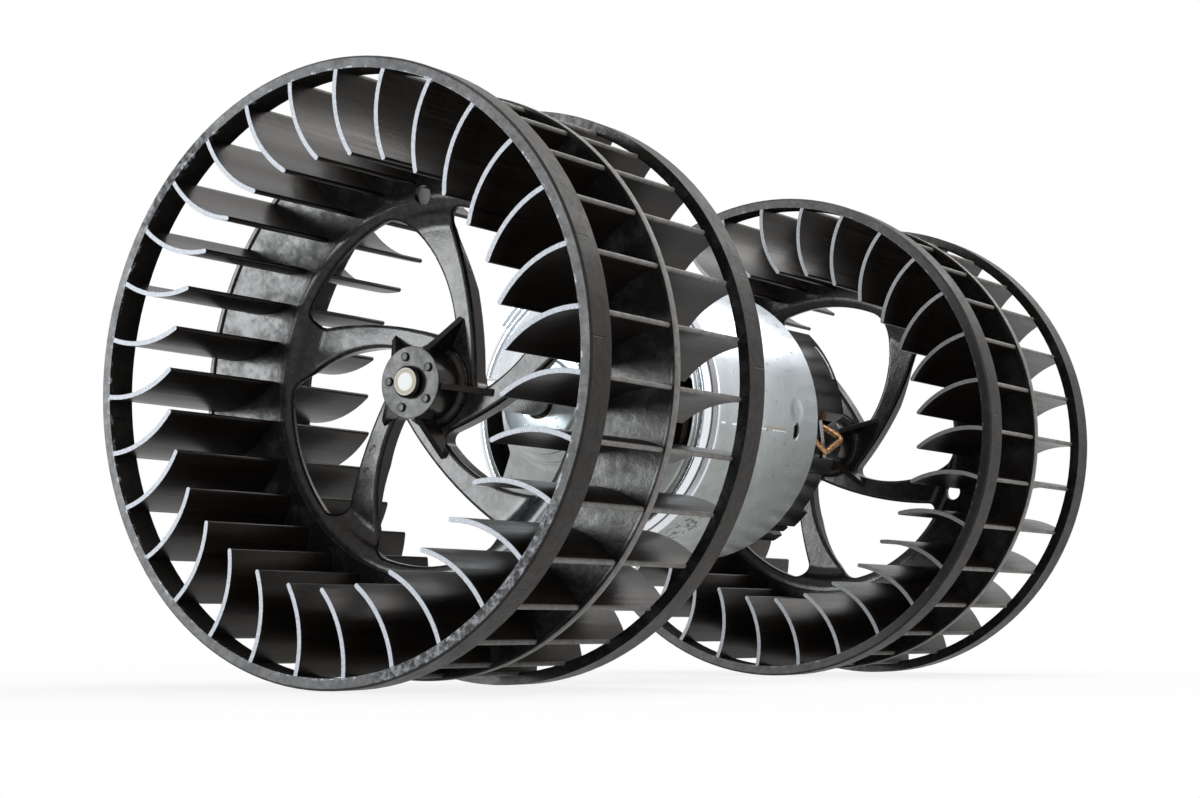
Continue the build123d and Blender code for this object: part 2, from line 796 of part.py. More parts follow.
card = brush_card()
keep("brush_card", card)
for letter, middle in zip("ab", brush_angles):
    keep("brush_" + letter, turn(brush(), middle))
    keep("brush_box_" + letter, turn(brush_box(), middle))
    keep("brush_spring_" + letter, turn(brush_spring(), middle))
    keep("choke_" + letter, turn(choke_rod(), middle + skirt_angle))
    keep("choke_winding_" + letter, turn(choke_winding(), middle + skirt_angle))
    keep("steel_strap_" + letter, turn(steel_strap(), middle).cut(card))
    keep("pigtail_" + letter, turn(braid(), middle))
for name, middle in zip(("terminal_plus", "terminal_minus"), terminal_angles):
    keep(name, turn(terminal(), middle))

os.makedirs("parts", exist_ok=True)
for name, shape in parts.items():
    shape.label = name
    export_step(shape, os.path.join("parts", name + ".step"))
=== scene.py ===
import math
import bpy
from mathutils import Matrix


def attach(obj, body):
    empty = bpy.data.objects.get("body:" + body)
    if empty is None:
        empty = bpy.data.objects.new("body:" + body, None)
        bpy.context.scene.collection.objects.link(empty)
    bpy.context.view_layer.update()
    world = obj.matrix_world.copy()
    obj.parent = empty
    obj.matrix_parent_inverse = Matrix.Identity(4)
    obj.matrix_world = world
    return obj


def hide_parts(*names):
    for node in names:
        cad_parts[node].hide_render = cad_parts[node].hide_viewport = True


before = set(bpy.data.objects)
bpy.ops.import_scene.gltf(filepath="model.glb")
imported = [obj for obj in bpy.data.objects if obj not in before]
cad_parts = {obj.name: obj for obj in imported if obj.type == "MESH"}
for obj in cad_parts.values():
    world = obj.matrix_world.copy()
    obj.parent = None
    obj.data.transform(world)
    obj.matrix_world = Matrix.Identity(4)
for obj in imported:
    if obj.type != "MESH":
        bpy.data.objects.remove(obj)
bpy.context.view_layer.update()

from types import SimpleNamespace

import bpy
from mathutils import Matrix, Vector

# The camera looks along the blower from in front of its near wheel, a little above the table,
# with a long lens, so the far wheel stands small behind the motor.
camera_place = Vector((0.34163, -0.54099, -0.06054))
camera_forward = Vector((-0.5517, 0.8277, 0.1028)).normalized()
camera_right = Vector((0.8322, 0.5546, 0.0)).normalized()
camera_up = camera_right.cross(camera_forward)
camera_turn = Matrix((camera_right, camera_up, -camera_forward)).transposed()
camera_data = bpy.data.cameras.new("camera")
camera_data.sensor_width = 36.0
camera_data.lens = 66.69
camera_data.clip_start = 0.01
camera_data.clip_end = 20.0
camera = bpy.data.objects.new("camera", camera_data)
bpy.context.scene.collection.objects.link(camera)
camera.matrix_world = Matrix.Translation(camera_place) @ camera_turn.to_4x4()
bpy.context.scene.camera = camera
bpy.context.scene.view_settings.view_transform = "Standard"


# The studio is a white room with four soft boxes. Its floor is a pale board that keeps a soft
# shadow, and the white that the camera and polished metal see comes from the rays they send.
white = (1.0, 1.0, 1.0)
floor_height = -0.0752
floor_side = 8.0
shadow_reach = 0.16
shadow_end = 0.42
shadow_white = 0.84


def new_finish(name):
    """A material, its node tree and its Principled shader."""
    material = bpy.data.materials.new(name)
    material.use_nodes = True
    tree = material.node_tree
    return material, tree, tree.nodes["Principled BSDF"]


def add_node(tree, kind, **settings):
    """A new node, with settings under the names of its properties."""
    node = tree.nodes.new(kind)
    for name, value in settings.items():
        setattr(node, name, value)
    return node


def feed(tree, socket, value):
    """Links a node's output to a socket, or sets a number or a colour on the socket itself."""
    if isinstance(value, bpy.types.NodeSocket):
        tree.links.new(value, socket)
    elif isinstance(value, tuple):
        socket.default_value = (*value, 1.0)
    else:
        socket.default_value = value


def value_math(tree, operation, first, second=None):
    """One step of arithmetic on outputs or numbers."""
    node = add_node(tree, "ShaderNodeMath", operation=operation)
    feed(tree, node.inputs[0], first)
    if second is not None:
        feed(tree, node.inputs[1], second)
    return node.outputs[0]


def mask(tree, value, start, end, least=0.0):
    """Rises smoothly from the least, 0 unless given, at one value to 1 at the other."""
    node = add_node(tree, "ShaderNodeMapRange", interpolation_type="SMOOTHSTEP")
    node.inputs["From Min"].default_value = start
    node.inputs["From Max"].default_value = end
    node.inputs["To Min"].default_value = least
    tree.links.new(value, node.inputs["Value"])
    return node.outputs["Result"]


def reach_from(tree, point):
    """The distance from a point, in metres on the object's own coordinates."""
    place = add_node(tree, "ShaderNodeTexCoord")
    gap = add_node(tree, "ShaderNodeVectorMath", operation="DISTANCE")
    tree.links.new(place.outputs["Object"], gap.inputs[0])
    gap.inputs[1].default_value = point
    return gap.outputs["Value"]


def white_rays(tree):
    """1 where a ray comes from the camera, a mirror or a glass, and 0 elsewhere."""
    path = add_node(tree, "ShaderNodeLightPath")
    mirrored = value_math(tree, "MAXIMUM", path.outputs["Is Camera Ray"], path.outputs["Is Glossy Ray"])
    return value_math(tree, "MAXIMUM", mirrored, path.outputs["Is Transmission Ray"])


def mix_shaders(tree, share, under, over, output):
    """Goes from one shader to another as the share rises to 1, and joins the mix to the output."""
    mix = add_node(tree, "ShaderNodeMixShader")
    tree.links.new(share, mix.inputs["Fac"])
    tree.links.new(under.outputs[0], mix.inputs[1])
    tree.links.new(over.outputs[0], mix.inputs[2])
    tree.links.new(mix.outputs[0], tree.nodes[output].inputs["Surface"])


world = bpy.data.worlds.new("studio")
bpy.context.scene.world = world
world.use_nodes = True
sky_tree = world.node_tree
sky = sky_tree.nodes["Background"]
feed(sky_tree, sky.inputs["Color"], (1.0, 0.95, 0.90))
sky.inputs["Strength"].default_value = 0.25
white_sky = add_node(sky_tree, "ShaderNodeBackground")
feed(sky_tree, white_sky.inputs["Color"], white)
white_sky.inputs["Strength"].default_value = 1.0
mix_shaders(sky_tree, white_rays(sky_tree), sky, white_sky, "World Output")

bpy.ops.object.select_all(action="DESELECT")
bpy.ops.mesh.primitive_grid_add(x_subdivisions=8, y_subdivisions=8, size=floor_side,
                                location=(0.0, 0.0, floor_height))
floor = bpy.context.object
floor.name = "floor"
floor_finish, floor_tree, floor_shader = new_finish("floor_board")
feed(floor_tree, floor_shader.inputs["Base Color"], (0.86, 0.86, 0.86))
floor_shader.inputs["Roughness"].default_value = 0.9
floor_shader.inputs["Specular IOR Level"].default_value = 0.1
floor_white = add_node(floor_tree, "ShaderNodeEmission")
feed(floor_tree, floor_white.inputs["Color"], white)
floor_reach = reach_from(floor_tree, (0.0, 0.0, 0.0))
floor_fade = mask(floor_tree, floor_reach, shadow_reach, shadow_end, shadow_white)
floor_share = value_math(floor_tree, "MULTIPLY", white_rays(floor_tree), floor_fade)
mix_shaders(floor_tree, floor_share, floor_shader, floor_white, "Material Output")
floor.data.materials.append(floor_finish)


def soft_box(name, place, aim, width, height, power, colour=white):
    """A rectangular lamp at one place, turned to another."""
    lamp = bpy.data.lights.new(name, "AREA")
    lamp.shape = "RECTANGLE"
    lamp.size = width
    lamp.size_y = height
    lamp.energy = power
    lamp.color = colour
    box = bpy.data.objects.new(name, lamp)
    bpy.context.scene.collection.objects.link(box)
    away = Vector(place) - Vector(aim)
    box.matrix_world = Matrix.Translation(place) @ away.to_track_quat("Z", "Y").to_matrix().to_4x4()


soft_box("front_box", (-1.13, -1.38, 0.18), (0.0, -0.10, 0.0), 0.60, 0.74, 30.0, (0.85, 0.93, 1.0))
soft_box("top_box", (0.10, 0.25, 1.15), (0.0, 0.0, 0.0), 0.9, 0.7, 10.0)
soft_box("right_box", (1.25, -0.25, 0.55), (0.0, 0.05, 0.0), 0.35, 0.8, 4.4)
soft_box("rear_box", (0.35, 1.15, 0.95), (0.0, 0.0, 0.0), 0.6, 0.6, 4.5)


# The shaft is a ground steel rod through the motor and both hubs. The short stubs that stand out
# of the hubs are painted dark as painted shade, and the faced ends keep the fine rings of the tool.
stub_start = 0.1127
faced_start = 0.1149
ring_pitch = 0.0003927
warm_ring = (0.0024, 0.0031)


def dress(finish, *names):
    """Gives CAD nodes a finish."""
    for name in names:
        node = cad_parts[name]
        if not node.material_slots:
            node.data.materials.append(finish)
        for place in node.material_slots:
            place.material = finish


def object_noise(tree, scale, detail, stretch=(1.0, 1.0, 1.0), roughness=0.5):
    """Noise on the object's own coordinates; a stretch below 1 draws it out along that axis."""
    place = add_node(tree, "ShaderNodeTexCoord")
    mapping = add_node(tree, "ShaderNodeMapping")
    mapping.inputs["Scale"].default_value = stretch
    noise = add_node(tree, "ShaderNodeTexNoise")
    noise.inputs["Scale"].default_value = scale
    noise.inputs["Detail"].default_value = detail
    noise.inputs["Roughness"].default_value = roughness
    tree.links.new(place.outputs["Object"], mapping.inputs["Vector"])
    tree.links.new(mapping.outputs["Vector"], noise.inputs["Vector"])
    return noise.outputs["Fac"]


def ramp(tree, source, stops):
    """A colour ramp over a value; stops are (place, grey or colour)."""
    node = add_node(tree, "ShaderNodeValToRGB")
    while len(node.color_ramp.elements) < len(stops):
        node.color_ramp.elements.new(0.5)
    for element, (place, colour) in zip(node.color_ramp.elements, stops):
        element.position = place
        if isinstance(colour, float):
            colour = (colour, colour, colour)
        element.color = (*colour, 1.0)
    tree.links.new(source, node.inputs["Fac"])
    return node.outputs["Color"]


def bump(tree, shader, source, distance, strength, under=None):
    """Relief of a height in metres on the shader, over the relief of the node under it."""
    node = add_node(tree, "ShaderNodeBump")
    node.inputs["Distance"].default_value = distance
    node.inputs["Strength"].default_value = strength
    tree.links.new(source, node.inputs["Height"])
    if under is not None:
        tree.links.new(under.outputs["Normal"], node.inputs["Normal"])
    tree.links.new(node.outputs["Normal"], shader.inputs["Normal"])
    return node


def product(tree, first, *others):
    """The product of masks and numbers."""
    for other in others:
        first = value_math(tree, "MULTIPLY", first, other)
    return first


def band(tree, value, low, high, soft):
    """1 between two values, with soft ends outside them."""
    return product(tree, mask(tree, value, low - soft, low), mask(tree, value, high + soft, high))


def blend(tree, kind, share, under, over):
    """Goes from one value to another as the share rises to 1."""
    node = add_node(tree, "ShaderNodeMix", data_type=kind)
    feed(tree, node.inputs["Factor"], share)
    feed(tree, node.inputs["A"], under)
    feed(tree, node.inputs["B"], over)
    return node.outputs["Result"]


def blend_colour(tree, share, under, over):
    """A blend of two colours."""
    return blend(tree, "RGBA", share, under, over)


def blend_value(tree, share, under, over):
    """A blend of two numbers."""
    return blend(tree, "FLOAT", share, under, over)


def flat_length(tree, first, second):
    """The length of a flat vector, from its two parts."""
    flat = add_node(tree, "ShaderNodeCombineXYZ")
    tree.links.new(first, flat.inputs[0])
    tree.links.new(second, flat.inputs[1])
    length = add_node(tree, "ShaderNodeVectorMath", operation="LENGTH")
    tree.links.new(flat.outputs["Vector"], length.inputs[0])
    return length.outputs["Value"]


def polar(tree):
    """Radius from the shaft, Y, the clockwise angle from the top in radians, and Z."""
    place = add_node(tree, "ShaderNodeTexCoord")
    parts = add_node(tree, "ShaderNodeSeparateXYZ")
    tree.links.new(place.outputs["Object"], parts.inputs["Vector"])
    x, y, z = parts.outputs
    return flat_length(tree, x, z), y, value_math(tree, "ARCTAN2", x, z), z


shaft_finish, tree, shader = new_finish("ground_shaft_steel")
radius, along = polar(tree)[:2]
from_middle = value_math(tree, "ABSOLUTE", along)
grind = object_noise(tree, 900.0, 4.0, (1.0, 6.0, 1.0))
steel = ramp(tree, grind, [(0.3, (0.46, 0.46, 0.47)), (0.7, (0.64, 0.64, 0.65))])
# Painted shade: the sides of the stubs are painted nearly black.
stub_shade = mask(tree, from_middle, stub_start - 0.0001, stub_start + 0.0001)
steel = blend_colour(tree, stub_shade, steel, (0.020, 0.019, 0.018))
warm_edge = band(tree, radius, *warm_ring, 0.0003)
end_steel = blend_colour(tree, warm_edge, (0.20, 0.195, 0.185), (0.120, 0.104, 0.080))
faced = mask(tree, from_middle, faced_start - 0.0001, faced_start + 0.0001)
tree.links.new(blend_colour(tree, faced, steel, end_steel), shader.inputs["Base Color"])
ground = ramp(tree, grind, [(0.3, 0.16), (0.7, 0.30)])
tree.links.new(blend_value(tree, faced, ground, 0.42), shader.inputs["Roughness"])
rings = value_math(tree, "SINE", product(tree, radius, 2.0 * math.pi / ring_pitch))
under = bump(tree, shader, grind, 0.00002, 0.5)
bump(tree, shader, product(tree, faced, rings), 0.00003, 0.4, under)
shader.inputs["Metallic"].default_value = 1.0
dress(shaft_finish, "shaft")


# The armature is a stack of punched laminations with paper end plates, copper windings and a
# moulded commutator, all pressed on the shaft.

def mottled_finish(name, noise, tones, roughness, metallic=0.0, grain=None):
    """A finish with tones over noise, which may also vary its roughness and raise its grain.

    The noise is object_noise's numbers, the roughness a number or a ramp's stops, and the grain
    the height and strength of a bump.
    """
    finish, tree, shader = new_finish(name)
    cloud = object_noise(tree, *noise)
    tree.links.new(ramp(tree, cloud, tones), shader.inputs["Base Color"])
    shader.inputs["Metallic"].default_value = metallic
    if isinstance(roughness, list):
        roughness = ramp(tree, cloud, roughness)
    feed(tree, shader.inputs["Roughness"], roughness)
    if grain is not None:
        bump(tree, shader, cloud, *grain)
    return finish


lamination_finish = mottled_finish(
    "lamination_steel", (60.0, 2.0, (1.0, 40.0, 1.0)),
    [(0.35, (0.20, 0.20, 0.21)), (0.65, (0.42, 0.42, 0.44))],
    roughness=0.42, metallic=0.9, grain=(0.0001, 0.6))
dress(lamination_finish, "armature_core")

paper_finish = mottled_finish(
    "slot_paper", (700.0, 5.0), [(0.3, (0.30, 0.40, 0.34)), (0.7, (0.42, 0.52, 0.44))],
    roughness=0.7, grain=(0.00006, 0.5))
dress(paper_finish, "slot_insulation")

# Painted shade: the windings' copper is painted nearly black, for the dark inside of the can.
winding_finish = mottled_finish(
    "enamelled_winding", (500.0, 2.0, (0.35, 1.0, 1.0)),
    [(0.35, (0.010, 0.005, 0.0035)), (0.65, (0.040, 0.017, 0.009))],
    roughness=0.32, metallic=0.3, grain=(0.0003, 0.8))
dress(winding_finish, "armature_windings")

bar_finish = mottled_finish(
    "commutator_copper", (300.0, 4.0, (0.2, 8.0, 0.2)),
    [(0.3, (0.45, 0.20, 0.11)), (0.7, (0.72, 0.38, 0.24))],
    roughness=0.32, metallic=1.0)
dress(bar_finish, "commutator_bars")

resin_finish = mottled_finish(
    "commutator_resin", (400.0, 4.0), [(0.3, (0.045, 0.02, 0.012)), (0.7, (0.07, 0.035, 0.02))],
    roughness=0.45)
dress(resin_finish, "commutator_hub")


# The motor can is drawn from zinc-coated steel. Its side has a seam, an oval hole and the soft
# mottling of the coating, and its upper part is painted lighter and bluer as painted light. The seam
# carries a painted highlight, the hole is painted dark inside as painted shade with a painted
# highlight on its lower rim, and the turned-in shoulder at its front is burnished by the tool and
# painted lighter as a painted highlight, with painted shade in its groove.
can_radius = 0.0402
side_radius = 0.0394
shoulder_radius = 0.0365
shoulder_y = -0.0305
shoulder_groove = (0.0384, 0.0386)
boss_rings = ((0.0142, 0.0144), (0.0162, 0.0165))
painted_light_heights = (-0.020, 0.022)
seam_angles = (1.7045, 1.7125)
seam_reach = (-0.0290, 0.0074)
seam_break_pitch = 0.01122
hole_angle = 1.684
hole_y = 0.0123
hole_half_width = 0.0023
hole_half_length = 0.00125
stain_angles = (1.690, 1.700)
stain_reach = (-0.004, 0.004)
dirt_on_side = (0.0228, -0.0217, -0.0331)
dirt_on_bead = (0.0340, -0.0395, -0.0185)
dent_place = (0.0401, 0.0121, 0.0010)
dull_zinc = (0.25, 0.27, 0.26)

can_finish, tree, shader = new_finish("zinc_can")
radius, along, angle, height = polar(tree)
mottle = object_noise(tree, 170.0, 7.0, (1.0, 0.7, 1.0), 0.68)
cloud = object_noise(tree, 45.0, 3.0, (1.0, 0.8, 1.0))
drawn = object_noise(tree, 420.0, 4.0, (1.0, 0.05, 1.0))
speck = object_noise(tree, 620.0, 2.0, (1.0, 0.8, 1.0), 0.4)
# Painted light: the can is painted grey below and bluish-white above, as if lit from above.
shaded_zinc = ramp(tree, mottle, [(0.30, dull_zinc), (0.70, (0.35, 0.375, 0.36))])
lit_zinc = ramp(tree, mottle, [(0.30, (0.66, 0.71, 0.76)), (0.70, (0.82, 0.88, 0.93))])
zinc = blend_colour(tree, mask(tree, height, *painted_light_heights), shaded_zinc, lit_zinc)
stained = ramp(tree, cloud, [(0.46, 0.0), (0.74, 0.35)])
zinc = blend_colour(tree, stained, zinc, dull_zinc)
dots = ramp(tree, speck, [(0.24, 0.65), (0.31, 0.0)])
zinc = blend_colour(tree, dots, zinc, (0.10, 0.11, 0.11))

beyond_shoulder = mask(tree, radius, shoulder_radius - 0.0003, shoulder_radius + 0.0003)
before_shoulder = mask(tree, along, shoulder_y + 0.0003, shoulder_y - 0.0003)
on_shoulder = product(tree, beyond_shoulder, before_shoulder)
# Painted highlight: the shoulder is painted nearly white, over its real burnish.
zinc = blend_colour(tree, on_shoulder, zinc, (0.80, 0.82, 0.86))
# Painted shade: a dark line is painted in the shoulder's groove.
shoulder_line = product(tree, on_shoulder, band(tree, radius, *shoulder_groove, 0.0002))
zinc = blend_colour(tree, shoulder_line, zinc, (0.12, 0.12, 0.13))

seam_wave = value_math(tree, "SINE", product(tree, along, 2.0 * math.pi / seam_break_pitch))
seam = product(tree, band(tree, angle, *seam_angles, 0.004), band(tree, along, *seam_reach, 0.0008),
               mask(tree, seam_wave, -0.75, -0.45))
# Painted highlight: the seam's dashes are painted nearly white along its ridge.
zinc = blend_colour(tree, seam, zinc, (0.95, 0.97, 1.0))

hole_across = product(tree, value_math(tree, "SUBTRACT", angle, hole_angle), can_radius / hole_half_width)
hole_along = product(tree, value_math(tree, "SUBTRACT", along, hole_y), 1.0 / hole_half_length)
from_hole = flat_length(tree, hole_across, hole_along)
on_side = mask(tree, radius, side_radius - 0.0002, side_radius + 0.0002)
# Painted shade: the inside of the oval hole is painted dark green-black over the can's side.
hole_shade = product(tree, on_side, mask(tree, from_hole, 1.0, 0.85))
zinc = blend_colour(tree, hole_shade, zinc, (0.045, 0.055, 0.045))
# Painted highlight: a bright rim is painted on the lower side of the hole.
hole_rim_highlight = product(tree, on_side, band(tree, from_hole, 1.0, 1.25, 0.12), mask(tree, hole_across, 0.2, 0.8))
zinc = blend_colour(tree, hole_rim_highlight, zinc, (0.93, 0.97, 1.0))

stain_across = band(tree, angle, *stain_angles, 0.012)
stain_along = band(tree, along, *stain_reach, 0.004)
weld_stain = product(tree, stain_across, stain_along, 0.45)
zinc = blend_colour(tree, weld_stain, zinc, (0.34, 0.24, 0.14))
side_dirt = mask(tree, reach_from(tree, dirt_on_side), 0.0090, 0.0040)
bead_dirt = mask(tree, reach_from(tree, dirt_on_bead), 0.0070, 0.0020)
dirt_specks = ramp(tree, speck, [(0.40, 0.85), (0.46, 0.0)])
dirt = product(tree, dirt_specks, value_math(tree, "MAXIMUM", side_dirt, bead_dirt))
zinc = blend_colour(tree, dirt, zinc, (0.050, 0.052, 0.048))
tree.links.new(zinc, shader.inputs["Base Color"])

dull = ramp(tree, mottle, [(0.3, 0.36), (0.7, 0.25)])
bright = value_math(tree, "MAXIMUM", on_shoulder, seam)
tree.links.new(blend_value(tree, bright, dull, 0.20), shader.inputs["Roughness"])
shader.inputs["Metallic"].default_value = 1.0
inner_ring, outer_ring = (band(tree, radius, *ring, 0.0003) for ring in boss_rings)
dent = mask(tree, reach_from(tree, dent_place), 0.0042, 0.0012)
relief = bump(tree, shader, mottle, 0.00010, 0.5)
relief = bump(tree, shader, drawn, 0.00004, 0.5, relief)
relief = bump(tree, shader, value_math(tree, "ADD", inner_ring, outer_ring), 0.00018, 0.7, relief)
relief = bump(tree, shader, seam, 0.00012, 0.7, relief)
bump(tree, shader, dent, -0.00035, 0.6, relief)
dress(can_finish, "motor_can")


# The two ferrite magnets are dull dark grey, ground on their faces, and clips of spring steel
# spread them against the can. The bearing retainers and brush springs are of the same steel.
ferrite_finish = mottled_finish(
    "ferrite", (900.0, 5.0), [(0.3, (0.035, 0.036, 0.04)), (0.7, (0.07, 0.07, 0.075))],
    roughness=0.55, grain=(0.00005, 0.5))
dress(ferrite_finish, "magnet_right", "magnet_left")

spring_finish = mottled_finish(
    "spring_steel", (300.0, 4.0), [(0.3, (0.22, 0.22, 0.24)), (0.7, (0.40, 0.40, 0.42))],
    roughness=0.3, metallic=1.0)
dress(spring_finish, "magnet_clips", "front_bearing_retainer", "rear_bearing_retainer",
      "brush_spring_a", "brush_spring_b")


# The shaft turns in two bushes of sintered bronze, painted very dark as painted shade for the dark
# gap round the shaft, one in the can's boss and one in the brush card's tower. Pale plastic washers
# and a sleeve keep the rotor in its place.
# Painted shade: the bronze is painted nearly black.
bronze_finish = mottled_finish(
    "sintered_bronze", (2200.0, 4.0), [(0.35, (0.035, 0.024, 0.016)), (0.6, (0.16, 0.11, 0.065))],
    roughness=0.5, metallic=0.9, grain=(0.00006, 0.7))
dress(bronze_finish, "front_bearing", "rear_bearing")

washer_finish = mottled_finish(
    "thrust_washer", (500.0, 3.0), [(0.3, (0.62, 0.60, 0.54)), (0.7, (0.74, 0.72, 0.66))],
    roughness=0.5)
dress(washer_finish, "front_thrust_washer", "rear_thrust_washer", "spacer_sleeve")


# The brush card is one black moulding over the can's rear end. It carries the brush boxes,
# springs, chokes, straps, braids and terminals.
card_finish, tree, shader = new_finish("card_moulding")
skin = object_noise(tree, 900.0, 4.0)
cloud = object_noise(tree, 60.0, 3.0)
card_black = ramp(tree, cloud, [(0.3, (0.0025, 0.0021, 0.0019)), (0.7, (0.0065, 0.0056, 0.0051))])
tree.links.new(card_black, shader.inputs["Base Color"])
tree.links.new(ramp(tree, cloud, [(0.3, 0.14), (0.7, 0.27)]), shader.inputs["Roughness"])
shader.inputs["Specular IOR Level"].default_value = 0.16
bump(tree, shader, skin, 0.00004, 0.5)
dress(card_finish, "brush_card")


# The brush boxes and terminals are folded from sheet brass, and the straps are tinned steel. Both
# brushes are copper-graphite with a braid of soft copper, and both chokes are wound dark rods.
brass_finish = mottled_finish(
    "sheet_brass", (260.0, 5.0), [(0.3, (0.48, 0.34, 0.14)), (0.7, (0.72, 0.55, 0.26))],
    roughness=[(0.3, 0.45), (0.7, 0.24)], metallic=1.0)
dress(brass_finish, "brush_box_a", "brush_box_b", "terminal_plus", "terminal_minus")

strap_finish = mottled_finish(
    "tinned_strap", (260.0, 5.0), [(0.3, (0.50, 0.50, 0.50)), (0.7, (0.72, 0.72, 0.71))],
    roughness=[(0.3, 0.42), (0.7, 0.22)], metallic=1.0)
dress(strap_finish, "steel_strap_a", "steel_strap_b")

carbon_finish = mottled_finish(
    "copper_graphite", (1800.0, 4.0), [(0.35, (0.03, 0.03, 0.03)), (0.7, (0.09, 0.08, 0.075))],
    roughness=0.5, grain=(0.00004, 0.6))
dress(carbon_finish, "brush_a", "brush_b", "choke_a", "choke_b")

braid_finish = mottled_finish(
    "copper_braid", (1500.0, 2.0, (1.0, 0.5, 1.0)),
    [(0.35, (0.16, 0.075, 0.030)), (0.65, (0.62, 0.36, 0.18))],
    roughness=0.35, metallic=1.0, grain=(0.0003, 0.8))
dress(braid_finish, "pigtail_a", "pigtail_b", "choke_winding_a", "choke_winding_b")


# The two wheels are one-shot mouldings in black filled nylon. Their flat faces are satin and
# cloudy from handling with a painted sheen over them, the blade ends and the blades' outer edges
# carry painted highlights, the rear wheel is painted darker as painted shade, and the blades carry
# the fine lines of the mould's polishing along their length.
wheel_middle = 0.10585
blade_end_depth = 0.0381
ring_inside = 0.0721
centre_radius = 0.0487
hub_radius = 0.0091
web_step = (0.04835, 0.04855)
pale_depth = 0.0303
ring_side_start = 0.07435
side_line_depths = (0.0390, 0.0395)
frayed_depth = 0.0375
# A torn arc is its start, end and soft width in radians, and a spoke's mark its place and half width.
torn_arcs = ((2.10, 2.85, 0.12), (-0.95, -0.62, 0.08))
knit_line_degrees = (133.8, 87.8, 70.0, -96.0)
knit_half_width = 0.0015
knit_depth = 0.0335
spoke_marks = ((-0.0202, -0.1030, -0.0147, 0.0013), (-0.0221, -0.1030, -0.0202, 0.0010),
               (0.0014, -0.1065, 0.0410, 0.0013), (0.0030, -0.1065, 0.0398, 0.0009))
mark_arc = (0.0026, 0.0029)
mark_arc_right = 0.0016
mark_arc_down = 0.0022
deep_black = (0.003, 0.003, 0.003)


def wheel_zones(tree, middle):
    """Masks that tell apart the faces of a wheel whose mid web stands at this Y."""
    radius, along, angle = polar(tree)[:3]
    depth = value_math(tree, "ABSOLUTE", value_math(tree, "SUBTRACT", along, middle))
    shape = add_node(tree, "ShaderNodeNewGeometry")
    facing = add_node(tree, "ShaderNodeSeparateXYZ")
    tree.links.new(shape.outputs["True Normal"], facing.inputs["Vector"])
    square_on = mask(tree, value_math(tree, "ABSOLUTE", facing.outputs["Y"]), 0.60, 0.96)
    end_depth = mask(tree, depth, blade_end_depth - 0.0001, blade_end_depth + 0.0001)
    at_end = product(tree, end_depth, square_on)
    within_ring = mask(tree, radius, ring_inside + 0.0001, ring_inside - 0.0001)
    on_ring = mask(tree, radius, ring_inside - 0.0001, ring_inside + 0.0001)
    rim = mask(tree, radius, ring_inside - 0.0005, ring_inside - 0.0001)
    outer = product(tree, rim, value_math(tree, "SUBTRACT", 1.0, square_on))
    return SimpleNamespace(
        radius=radius, angle=angle, depth=depth, square_on=square_on, outer=outer,
        blade_end=product(tree, at_end, within_ring),
        ring_face=product(tree, at_end, on_ring),
        centre=mask(tree, radius, centre_radius + 0.0005, centre_radius - 0.0005),
        hub_face=product(tree, square_on, mask(tree, radius, hub_radius + 0.0001, hub_radius - 0.0001)),
        step=product(tree, square_on, band(tree, radius, *web_step, 0.00015)),
        pale=product(tree, outer, mask(tree, depth, pale_depth + 0.0001, pale_depth - 0.0001)))


def wheel_noises(tree):
    """The noises that a wheel's colour, gloss and relief are made from."""
    return SimpleNamespace(
        cloud=object_noise(tree, 120.0, 6.0, roughness=0.66),
        spots=object_noise(tree, 520.0, 4.0, roughness=0.6),
        fine=object_noise(tree, 1500.0, 3.0),
        streak=object_noise(tree, 1300.0, 4.0, (1.0, 0.02, 1.0), 0.6),
        sweep=object_noise(tree, 140.0, 2.0, (1.0, 0.05, 1.0)))


def wheel_damage(tree, zone, noise, wear_and_light):
    """Masks of the marks on the spokes, the fine lines on the ring, torn flash and a frayed edge."""
    marks = 0.0
    for x, y, z, size in spoke_marks:
        patch = mask(tree, reach_from(tree, (x, y, z)), size, size * 0.7)
        from_middle = reach_from(tree, (x + mark_arc_right, y, z - mark_arc_down))
        arc = band(tree, from_middle, *mark_arc, 0.0002)
        marks = value_math(tree, "MAXIMUM", marks, product(tree, patch, arc))
    knits = 0.0
    for degrees in knit_line_degrees:
        turn = math.radians(degrees)
        knit = band(tree, zone.angle, turn - knit_half_width, turn + knit_half_width, 0.002)
        knits = value_math(tree, "MAXIMUM", knits, knit)
    near_end = mask(tree, zone.depth, knit_depth - 0.0005, knit_depth + 0.0005)
    knits = product(tree, zone.outer, near_end, knits, 0.9)
    ring_side = mask(tree, zone.radius, ring_side_start - 0.00015, ring_side_start + 0.00015)
    side_line = product(tree, ring_side, band(tree, zone.depth, *side_line_depths, 0.0002), 0.85)
    first_arc, second_arc = (band(tree, zone.angle, *arc) for arc in torn_arcs)
    torn_place = value_math(tree, "MAXIMUM", first_arc, second_arc)
    edge = band(tree, zone.radius, ring_inside - 0.0005, ring_inside + 0.0003, 0.0003)
    at_edge = mask(tree, zone.depth, frayed_depth - 0.0005, frayed_depth + 0.0005)
    edge_spots = ramp(tree, noise.spots, [(0.56, 0.0), (0.64, 0.9)])
    return SimpleNamespace(
        marks=marks,
        cracks=value_math(tree, "MAXIMUM", side_line, knits),
        torn=product(tree, zone.ring_face, torn_place, max(0.0, 2.0 * wear_and_light - 1.0)),
        frayed=product(tree, edge, at_edge, edge_spots, wear_and_light))


